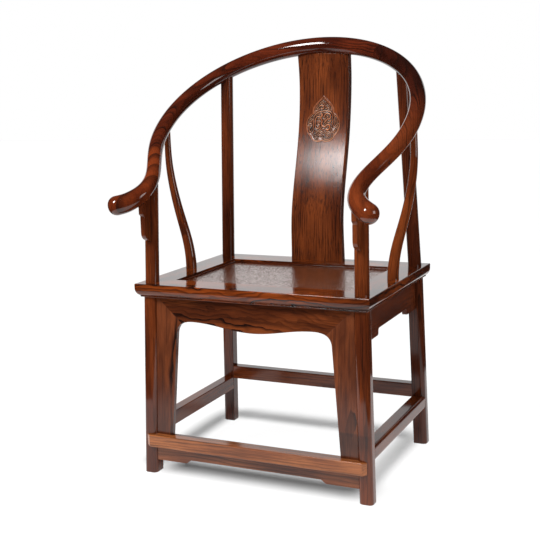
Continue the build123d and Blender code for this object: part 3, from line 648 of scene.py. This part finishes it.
carved = np.full(leaf_x.shape, LEAF_FLOOR)
cut_beside = np.zeros(leaf_x.shape)
for points_mm, half_width, rise in strokes:
    away = distance_to(curve_points(points_mm), leaf_x, leaf_z)
    rounded = np.clip(1 - (away / half_width) ** 2, 0, 1) ** 0.7
    carved = np.maximum(carved, LEAF_FLOOR + rounded * rise / 1000)
    beside = np.clip(1.6 - np.abs(away - half_width - CUT_MIDDLE) / CUT_WIDTH, 0, 1)
    cut_beside = np.maximum(cut_beside, beside * (rounded <= 0))
ripple = FLOOR_RIPPLE * np.sin(leaf_x * 0.33 + 0.8) * np.cos(leaf_z * 0.29)
floor_only = carved <= LEAF_FLOOR + 1e-6
open_floor = carved + FLOOR_PLAY + ripple - FLOOR_PLAY * cut_beside
carved = np.where(floor_only, open_floor, carved)
rim = RIM_HEIGHT * np.clip(1 - ((signed - RIM_MIDDLE) / RIM_HALF_WIDTH) ** 2, 0, 1)
bank = np.clip(-signed / BANK_WIDTH, 0, 1)
relief = np.where(signed < 0, carved * bank + rim, rim)
groove = signed > RIM_HALF_WIDTH
relief = np.where(groove, RIM_FOOT, relief)
relief = np.where(signed > RIM_HALF_WIDTH + GROOVE_WIDTH, SKIRT, relief)

# The carving follows the splat's bend, found beside the leaf, and stays above its face
# wherever the splat isn't sunk.
splat_solid = solids_tree(["back_splat"])
SPLAT_PLAIN_X = 0.060
front_y = []
pocket = np.zeros(leaf_x.shape, bool)
for j, z in enumerate(zs):
    for i, x in [(-1, SPLAT_PLAIN_X)] + list(enumerate(xs)):
        hit = splat_solid.ray_cast(Vector((x, 0.0, LEAF_MIDDLE + z)), Vector((0, 1, 0)))[0]
        if i < 0:
            front_y.append(hit.y)
        else:
            pocket[j, i] = hit.y > front_y[-1] + POCKET_DEPTH / 2
solid_wood = ~pocket & (signed < 0)
relief = np.where(solid_wood, np.maximum(relief, RIM_FOOT), relief)
front_y = np.polyval(np.polyfit(zs, front_y, 4), zs)
lean = np.gradient(front_y, zs)
steep = np.sqrt(1 + lean ** 2)[:, None]
place_y = front_y[:, None] - relief / steep
place_z = LEAF_MIDDLE + grid_z + relief * lean[:, None] / steep
leaf_vertices = np.stack([grid_x.ravel(), place_y.ravel(), place_z.ravel()], axis=1)
wanted = signed < RIM_HALF_WIDTH + GROOVE_WIDTH + LEAF_GRID
wide = len(xs)
leaf_faces = []
for j in range(len(zs) - 1):
    for i in range(wide - 1):
        if wanted[j:j + 2, i:i + 2].any():
            a = j * wide + i
            leaf_faces.append((a, a + 1, a + wide + 1, a + wide))
used = sorted({i for face in leaf_faces for i in face})
order = {old: new for new, old in enumerate(used)}
leaf_mesh = bpy.data.meshes.new("medallion_carving")
leaf_mesh.from_pydata([tuple(leaf_vertices[i]) for i in used], [],
                      [[order[i] for i in face] for face in leaf_faces])
for face in leaf_mesh.polygons:
    face.use_smooth = True

# How deep the carving lies, from -1 in the cuts to 0 on the tops, with painted shade in the
# cuts and beside the strokes, and a painted highlight on the edges facing up and to one
# side.
depth_and_shade = np.where(groove, -1.0, relief / -LEAF_FLOOR) - 0.8 * cut_beside * (signed < 0)
depth_and_shade = np.where(solid_wood, depth_and_shade - 0.4, depth_and_shade)
depth_and_shade = np.where((signed > RIM_INNER) & ~groove, -0.32, depth_and_shade)
# The edges that face up and to one side, found from the slope, get a painted highlight.
fall_z, fall_x = np.gradient(relief / LEAF_GRID)
edges = np.clip((-0.9 * fall_z + 0.4 * fall_x - 0.25) * 1.6, 0, 1) * (signed < 0)
for name, values in (("carved_depth_and_shade", depth_and_shade), ("painted_highlight_edge", edges)):
    layer = leaf_mesh.attributes.new(name, "FLOAT", "POINT")
    layer.data.foreach_set("value", values.ravel()[used].astype(np.float32))
medallion = bpy.data.objects.new("medallion_carving", leaf_mesh)
bpy.context.scene.collection.objects.link(medallion)


def carved_wood():
    """Carved splat wood: painted shade in the cuts, orange tops, painted highlights on
    edges.
    """
    graph = Graph(bpy.data.materials.new("medallion_wood"))
    place = graph.place()
    height = 1.0 + graph.node("ShaderNodeAttribute", {"attribute_name": "carved_depth_and_shade"},
                              output="Fac")
    highlit_edge = graph.node("ShaderNodeAttribute", {"attribute_name": "painted_highlight_edge"}, output="Fac")
    grain = graph.noise(graph.stretch(place, (420.0, 420.0, 24.0)), detail=3.0)
    patch = graph.noise(graph.stretch(place, (130.0, 130.0, 130.0)))
    tops = graph.blend(grain.rise(0.3, 0.7), colour(122, 62, 32), colour(160, 90, 54))
    ground = graph.blend(patch.rise(0.35, 0.65), colour(86, 46, 28), colour(116, 72, 50))
    wood = graph.blend(height.rise(0.35, 0.95), ground, tops)
    # Painted shade: the cuts and the bands beside the strokes are turned nearly black.
    wood = graph.blend(height.rise(-0.15, 0.30), colour(30, 12, 7), wood)
    # Painted highlight: the edges that face up and to one side are turned pale.
    wood = graph.blend(highlit_edge.clamp() * 0.7, wood, colour(206, 156, 122))
    normal = graph.node("ShaderNodeBump", inputs={
        "Strength": 0.06, "Distance": GRAIN_RELIEF, "Height": grain})
    return graph.finish(Base_Color=wood, Roughness=0.17 + patch * 0.10, Normal=normal,
                        IOR=1.5)


leaf_mesh.materials.append(carved_wood())
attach(medallion, "root")


# Seat frame
# Four mitred rails with a moulded edge. The front one is the show piece: orange wood with
# bold black veins. Their flat tops are rubbed to a mirror.

frame_planks = {
    "front": ((0.0, -0.26, 0.36), (1, 0.03, 0.035), 0.010),
    "right": ((0.30, 0.0, 0.40), (0.03, 1, 0.02), 0.008),
    "rear": ((0.0, 0.20, 0.38), (1, 0.02, -0.02), 0.008),
    "left": ((-0.30, 0.0, 0.38), (0.02, 1, 0.03), 0.008),
}
for index, (name, (heart, along, gap)) in enumerate(frame_planks.items()):
    dress(f"seat_rail_{name}", rosewood(
        f"seat_rail_wood_{name}", heart, along, ring_gap=gap, wander=0.022,
        ground=colour(64, 25, 8), bright=colour(128, 57, 18), veins=1.1, streaks=0.4,
        gloss=0.08, waves=6.0, steady=0.4, seed=70.0 + 3 * index))


# Seat panel
# A thin board lies in the frame's rebate, stiffened by two battens, and four mitred strips
# press the mat down along its edges.

for node in ("seat_board", "seat_batten_left", "seat_batten_right"):
    dress(node, rosewood(f"{node}_wood", (0.0, 0.0, 0.36), (0.02, 1, 0), ring_gap=0.008,
                         gloss=0.4, seed=90.0))
for index, name in enumerate(("front", "right", "rear", "left")):
    along = (1, 0, 0) if name in ("front", "rear") else (0, 1, 0)
    dress(f"mat_strip_{name}", rosewood(
        f"mat_strip_wood_{name}", (0.0, 0.0, 0.40), along, ground=colour(70, 28, 14),
        bright=colour(92, 40, 20), gloss=0.10, seed=94.0 + index))


# Woven mat
# Fine cane woven over and under, stretched flat on the board and brushed with lacquer
# until it shines, with small glints that are glossier and also painted paler in its colour;
# it sinks a little in the middle from use.

mat_low, mat_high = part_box("seat_mat")
MAT_SAG = 0.0008
MAT_CELLS = (112, 80)
CANE_PITCH = 0.0026
CANE_WOBBLE = 0.0006


def mat_sheet():
    """A closed thin sheet, finely divided, that sinks slightly towards its middle."""
    across, deep = MAT_CELLS
    vertices = []
    for layer in (0, 1):
        for j in range(deep + 1):
            for i in range(across + 1):
                x = mat_low.x + (mat_high.x - mat_low.x) * i / across
                y = mat_low.y + (mat_high.y - mat_low.y) * j / deep
                hollow = math.sin(math.pi * i / across) * math.sin(math.pi * j / deep)
                z = mat_high.z - MAT_SAG * hollow if layer else mat_low.z
                vertices.append((x, y, z))
    count = (across + 1) * (deep + 1)
    faces = []
    for j in range(deep):
        for i in range(across):
            a = j * (across + 1) + i
            quad = (a, a + 1, a + across + 2, a + across + 1)
            faces.append(tuple(reversed(quad)))
            faces.append(tuple(index + count for index in quad))
    rim = list(range(across))
    rim += [across + j * (across + 1) for j in range(deep)]
    rim += [deep * (across + 1) + i for i in range(across, 0, -1)]
    rim += [j * (across + 1) for j in range(deep, 0, -1)]
    for first, second in zip(rim, rim[1:] + rim[:1]):
        faces.append((first, second, second + count, first + count))
    mesh = bpy.data.meshes.new("woven_mat")
    mesh.from_pydata(vertices, [], faces)
    mesh.update()
    return mesh


def woven_cane():
    """Cane woven over and under one strand at a time, uneven by hand, under lacquer."""
    graph = Graph(bpy.data.materials.new("woven_cane"))
    place = graph.place()
    wobble = (graph.noise(graph.stretch(place, (60.0, 60.0, 60.0))) - 0.5) * CANE_WOBBLE
    turn = math.pi / CANE_PITCH
    x = (graph.dot(place, (1, 0, 0)) + wobble) * turn
    y = (graph.dot(place, (0, 1, 0)) + wobble) * turn
    weft = x.math("SINE", x) * y.math("COSINE", y)
    strands = weft.math("ABSOLUTE", weft)
    gaps = 1.0 - strands
    uneven = graph.noise(graph.stretch(place, (190.0, 95.0, 100.0)), detail=1.5,
                         roughness=0.6)
    coat_and_painted_glints = graph.noise(graph.stretch(place, (330.0, 150.0, 100.0)),
                         detail=1.0).rise(0.43, 0.57)
    dyes = graph.noise(graph.stretch(place, (14.0, 220.0, 14.0)), detail=3.0)
    tone = graph.blend(dyes.rise(0.3, 0.7), colour(96, 50, 30), colour(126, 74, 48))
    tone = graph.blend(gaps * 0.55, tone, colour(44, 20, 12))
    # Painted highlight: the cane is darker away from the glints, so the glints show paler.
    tone = graph.blend((1.0 - coat_and_painted_glints) * 0.5, tone, colour(58, 28, 12))
    normal = graph.node("ShaderNodeBump", inputs={
        "Strength": 0.5, "Distance": 0.0005, "Height": strands * 0.5 + uneven * 3.4})
    return graph.finish(Base_Color=tone, Roughness=0.06 + gaps * 0.06, Normal=normal,
                        IOR=1.46, Coat_Weight=coat_and_painted_glints * 0.55, Coat_Roughness=0.05)


mat = bpy.data.objects.new("woven_mat", mat_sheet())
bpy.context.scene.collection.objects.link(mat)
for face in mat.data.polygons:
    face.use_smooth = True
mat.data.materials.append(woven_cane())
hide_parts("seat_mat")
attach(mat, "root")


# Aprons and upright strips
# The front apron and its strips are cut from figured boards and meet in mitres; the side
# and rear aprons are plainer. All stand a little back from the faces of the legs.

dress("front_apron", rosewood(
    "front_apron_wood", (0.05, -0.24, 0.30), (1, 0.02, -0.05), ring_gap=0.015,
    wander=0.034, ground=colour(76, 34, 15), bright=colour(120, 59, 27), veins=1.2,
    waves=6.5, steady=0.12, seed=100.0))
for side_name, side in sides.items():
    dress(f"front_strip_{side_name}", rosewood(
        f"front_strip_wood_{side_name}", (0.24 * side, -0.14, 0.3), (0.02, 0.01, 1),
        ring_gap=0.007, ground=colour(84, 39, 19), bright=colour(124, 64, 33), veins=1.0,
        gloss=0.2, waves=4.0, seed=110.0 + side))
    dress(f"side_apron_{side_name}", rosewood(
        f"side_apron_wood_{side_name}", (0.33 * side, 0.0, 0.30), (0.02, 1, 0.03),
        ring_gap=0.008, ground=colour(70, 29, 14), bright=colour(104, 48, 24), veins=0.7,
        gloss=0.2, seed=114.0 + side))
dress("rear_apron", rosewood(
    "rear_apron_wood", (0.0, 0.28, 0.30), (1, 0.02, 0.03), ring_gap=0.009, veins=0.6,
    gloss=0.2, seed=120.0))


# Stretchers and footrest
# Straight bars tenoned into the legs. The footrest is broad, worn smooth on top and
# rounded under its front edge, with a small stepped apron below it.

for side_name, side in sides.items():
    dress(f"side_stretcher_{side_name}", rosewood(
        f"side_stretcher_wood_{side_name}", (0.30 * side, 0.0, 0.05), (0, 1, 0.02),
        ring_gap=0.006, veins=0.5, gloss=0.16, ior=1.38, seed=130.0 + side))
dress("rear_stretcher", rosewood(
    "rear_stretcher_wood", (0.0, 0.25, 0.08), (1, 0.01, 0.01), ring_gap=0.006, veins=0.5,
    gloss=0.16, seed=134.0))
dress("footrest", rosewood(
    "footrest_wood", (0.0, -0.20, 0.02), (1, 0.01, 0.02), ring_gap=0.007,
    ground=colour(132, 72, 38), bright=colour(172, 102, 56), veins=0.7, gloss=0.16,
    seed=138.0))
dress("footrest_apron", rosewood(
    "footrest_apron_wood", (0.0, -0.18, 0.0), (1, 0.01, 0.01), ring_gap=0.007,
    ground=colour(100, 50, 26), bright=colour(140, 78, 42), veins=0.6, gloss=0.2,
    seed=142.0))


# Brackets under the hands
# Small shaped rosewood boards, one under each hand. A tongue along the back edge holds
# each in its front post, and the grain stands upright.

for side_name, side in sides.items():
    dress(f"bracket_{side_name}", rosewood(
        f"bracket_wood_{side_name}", (0.27 * side, -0.15, 0.6), (0, 0.02, 1),
        ring_gap=0.005, veins=0.5, gloss=0.16, seed=150.0 + side))


# Floor and backdrop
# A wide pale paper floor under a soft lamp of its own, which only the low bars of the chair
# and two unseen strips shade, so short soft shadows lie on it. The sky behind is plain
# white, and gives the chair less light than it shows.

FLOOR_REACH = 14.0
PAPER_GREY = 0.12
PAPER_LEVEL = 0.96              # how white the paper comes out under its lamp


def looked_at(graph):
    """1 for what is seen, straight, mirrored or through glass, and 0 for soft light."""
    return (graph.node("ShaderNodeLightPath", output="Is Camera Ray")
            + graph.node("ShaderNodeLightPath", output="Is Glossy Ray")
            + graph.node("ShaderNodeLightPath", output="Is Transmission Ray")).clamp()


def plain_paper():
    """Pale paper with a faint tooth."""
    graph = Graph(bpy.data.materials.new("white_paper"))
    tooth = graph.noise(graph.stretch(graph.place(), (900.0, 900.0, 900.0)))
    normal = graph.node("ShaderNodeBump", inputs={
        "Strength": 0.05, "Distance": 0.0002, "Height": tooth})
    surface = graph.node("ShaderNodeBsdfDiffuse", inputs={
        "Color": (PAPER_GREY, PAPER_GREY, PAPER_GREY, 1.0), "Normal": normal})
    graph.node("ShaderNodeOutputMaterial", inputs=[surface])
    return graph.owner


def stage_piece(name, vertices, faces, material):
    """A piece of the studio, which isn't part of the chair."""
    mesh = bpy.data.meshes.new(name)
    mesh.from_pydata(vertices, [], faces)
    piece = bpy.data.objects.new(name, mesh)
    piece.data.materials.append(material)
    bpy.context.scene.collection.objects.link(piece)
    return piece


def flat_sheet(left, right, front, rear, height):
    """Corners and face of a level rectangle."""
    return ([(left, front, height), (right, front, height), (right, rear, height),
             (left, rear, height)], [(0, 1, 2, 3)])


paper = plain_paper()
paper_floor = stage_piece("paper_floor", *flat_sheet(
    -FLOOR_REACH, FLOOR_REACH, -FLOOR_REACH, FLOOR_REACH, 0.0), paper)


def shade(name, left, right, front, rear, height):
    """A strip that only the paper's lamp meets, for a softer shadow than a bar's own."""
    strip = stage_piece(name, *flat_sheet(left, right, front, rear, height), paper)
    for ray in ("camera", "diffuse", "glossy", "transmission"):
        setattr(strip, f"visible_{ray}", False)
    return strip


# The first strip stands in for the footrest, the second for the right side stretcher.
SHADE_HALF_WIDTH = 0.014
bar_low, bar_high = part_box("side_stretcher_right")
bar = middle_of("side_stretcher_right")
shades = [shade("front_shade", left=-0.215, right=0.31, front=-0.252, rear=-0.176,
                height=0.16),
          shade("right_shade", left=bar.x - SHADE_HALF_WIDTH,
                right=bar.x + SHADE_HALF_WIDTH, front=bar_low.y, rear=bar_high.y,
                height=bar.z)]

ROOM_LIGHT = 0.42
bpy.context.scene.world = bpy.data.worlds.new("studio")
sky = Graph(bpy.context.scene.world)
sky_dim, sky_white = (
    sky.node("ShaderNodeBackground", inputs={"Color": (1.0, 1.0, 1.0, 1.0),
                                             "Strength": strength})
    for strength in (ROOM_LIGHT, 1.0))
sky.node("ShaderNodeOutputWorld", inputs=[
    sky.node("ShaderNodeMixShader", inputs=[looked_at(sky), sky_dim, sky_white])])


# Lamps
# A soft key lamp above the front left makes the highlights in the rail and the splat, a
# weak square one at the right the second ones on the hands and posts, and a fill adds soft
# light without highlights. A pale sun lights the paper floor alone.

def soft_lamp(name, place, target, width, height, watts):
    """A rectangular soft lamp that faces a point."""
    light = bpy.data.lights.new(name, "AREA")
    light.shape = "RECTANGLE"
    light.size = width
    light.size_y = height
    light.energy = watts
    lamp = bpy.data.objects.new(name, light)
    lamp.location = place
    beam = Vector(target) - Vector(place)
    lamp.rotation_euler = beam.to_track_quat("-Z", "Y").to_euler()
    bpy.context.scene.collection.objects.link(lamp)
    return lamp


soft_lamp("key_lamp", place=(-0.67, -1.80, 2.35), target=(0, 0.25, 0.9),
          width=0.68, height=0.9, watts=54)
soft_lamp("side_lamp", place=(2.4, -0.50, 1.0), target=(0, 0, 0.8),
          width=0.9, height=0.9, watts=10)
fill_lamp = soft_lamp("fill_lamp", place=(-0.52, -1.33, 2.61), target=(0, 0.27, 1.04),
                      width=0.8, height=2.0, watts=40)
fill_lamp.visible_glossy = False

# The paper's lamp is as even as daylight: paper level = grey * strength * slant / pi.
PAPER_LAMP_SIDE = 0.33
PAPER_LAMP_FRONT = 0.37
PAPER_LAMP_ANGLE = 0.5
slant = 1 / math.sqrt(1 + PAPER_LAMP_SIDE ** 2 + PAPER_LAMP_FRONT ** 2)
paper_light = bpy.data.lights.new("paper_lamp", "SUN")
paper_light.energy = PAPER_LEVEL * math.pi / (PAPER_GREY * slant)
paper_light.angle = PAPER_LAMP_ANGLE
paper_lamp = bpy.data.objects.new("paper_lamp", paper_light)
beam = Vector((-PAPER_LAMP_SIDE, PAPER_LAMP_FRONT, -1))
paper_lamp.rotation_euler = beam.to_track_quat("-Z", "Y").to_euler()
paper_lamp.location = (0.9, -1.0, 3.0)
bpy.context.scene.collection.objects.link(paper_lamp)
low_bars = [nodes["side_stretcher_left"], nodes["rear_stretcher"]]
for role, pieces in (("receiver_collection", [paper_floor]),
                     ("blocker_collection", low_bars + shades)):
    group = bpy.data.collections.new(f"paper_lamp_{role}")
    for piece in pieces:
        group.objects.link(piece)
    setattr(paper_lamp.light_linking, role, group)


# Flags
# Black cloths round the set, which only the lacquer sees. They keep the white studio out
# of its faces, apart from a low opening behind the chair and the floor near its feet.

cloth = Graph(bpy.data.materials.new("black_cloth"))
cloth.node("ShaderNodeOutputMaterial", inputs=[
    cloth.node("ShaderNodeBsdfDiffuse", inputs={"Color": (0.02, 0.02, 0.02, 1)})])


def flag(name, vertices, faces):
    """A cloth that is seen in reflections alone and shades nothing."""
    piece = stage_piece(name, vertices, faces, cloth.owner)
    for ray in ("camera", "diffuse", "transmission", "shadow"):
        setattr(piece, f"visible_{ray}", False)


FLAG_RADIUS = 4.0
FLAG_HEIGHT = 4.0
CEILING_REACH = 5.0
CARPET_HEIGHT = 0.002
OPEN_FROM = 75                  # degrees round the set, from the chair's right side
OPEN_TO = 150
OPEN_HEIGHT = 2.4
FLOOR_CLEAR = 1.05


def bent_flag(name, start, stop, low, high, inner=FLAG_RADIUS):
    """A cloth bent round the set between two angles, upright or flat on the floor."""
    steps = 48
    vertices = []
    for i in range(steps + 1):
        angle = math.radians(start + (stop - start) * i / steps)
        x, y = math.cos(angle), math.sin(angle)
        vertices += [(inner * x, inner * y, low), (FLAG_RADIUS * x, FLAG_RADIUS * y, high)]
    faces = [(2 * i, 2 * i + 2, 2 * i + 3, 2 * i + 1) for i in range(steps)]
    flag(name, vertices, faces)


bent_flag("flag_wall", OPEN_TO, 360 + OPEN_FROM, 0.0, FLAG_HEIGHT)
bent_flag("flag_above_opening", OPEN_FROM, OPEN_TO, OPEN_HEIGHT, FLAG_HEIGHT)
bent_flag("flag_carpet", OPEN_TO, 360 + OPEN_FROM, CARPET_HEIGHT, CARPET_HEIGHT,
          inner=FLOOR_CLEAR)
flag("flag_ceiling", *flat_sheet(-CEILING_REACH, CEILING_REACH, -CEILING_REACH,
                                 CEILING_REACH, FLAG_HEIGHT))


# Camera
# At chest height, in front of the chair and to its right, looking slightly down. A long
# lens from two and a half metres away keeps the legs nearly upright.

CAMERA_PLACE = Vector((1.0088, -2.2430, 0.9267))
CAMERA_TURN = math.radians(24.43)
CAMERA_DIP = math.radians(9.80)
CAMERA_ROLL = math.radians(-1.436)
IMAGE_SIZE = 540
FOCAL_PIXELS = 1007.23
CENTRE_X = 283.52
CENTRE_Y = 262.53

forward = Vector((-math.sin(CAMERA_TURN) * math.cos(CAMERA_DIP),
                  math.cos(CAMERA_TURN) * math.cos(CAMERA_DIP), -math.sin(CAMERA_DIP)))
level = forward.cross(Vector((0, 0, 1))).normalized()
upward = level.cross(forward)
right = level * math.cos(CAMERA_ROLL) + upward * math.sin(CAMERA_ROLL)
top = upward * math.cos(CAMERA_ROLL) - level * math.sin(CAMERA_ROLL)
lens = bpy.data.cameras.new("camera")
lens.sensor_width = 36.0
lens.lens = FOCAL_PIXELS * lens.sensor_width / IMAGE_SIZE
lens.shift_x = (IMAGE_SIZE / 2 - CENTRE_X) / IMAGE_SIZE
lens.shift_y = (CENTRE_Y - IMAGE_SIZE / 2) / IMAGE_SIZE
lens.clip_start = 0.05
lens.clip_end = 60.0
camera = bpy.data.objects.new("camera", lens)
turn = Matrix((right, top, -forward)).transposed().to_4x4()
camera.matrix_world = Matrix.Translation(CAMERA_PLACE) @ turn
bpy.context.scene.collection.objects.link(camera)
bpy.context.scene.camera = camera
bpy.context.scene.view_settings.view_transform = "Standard"
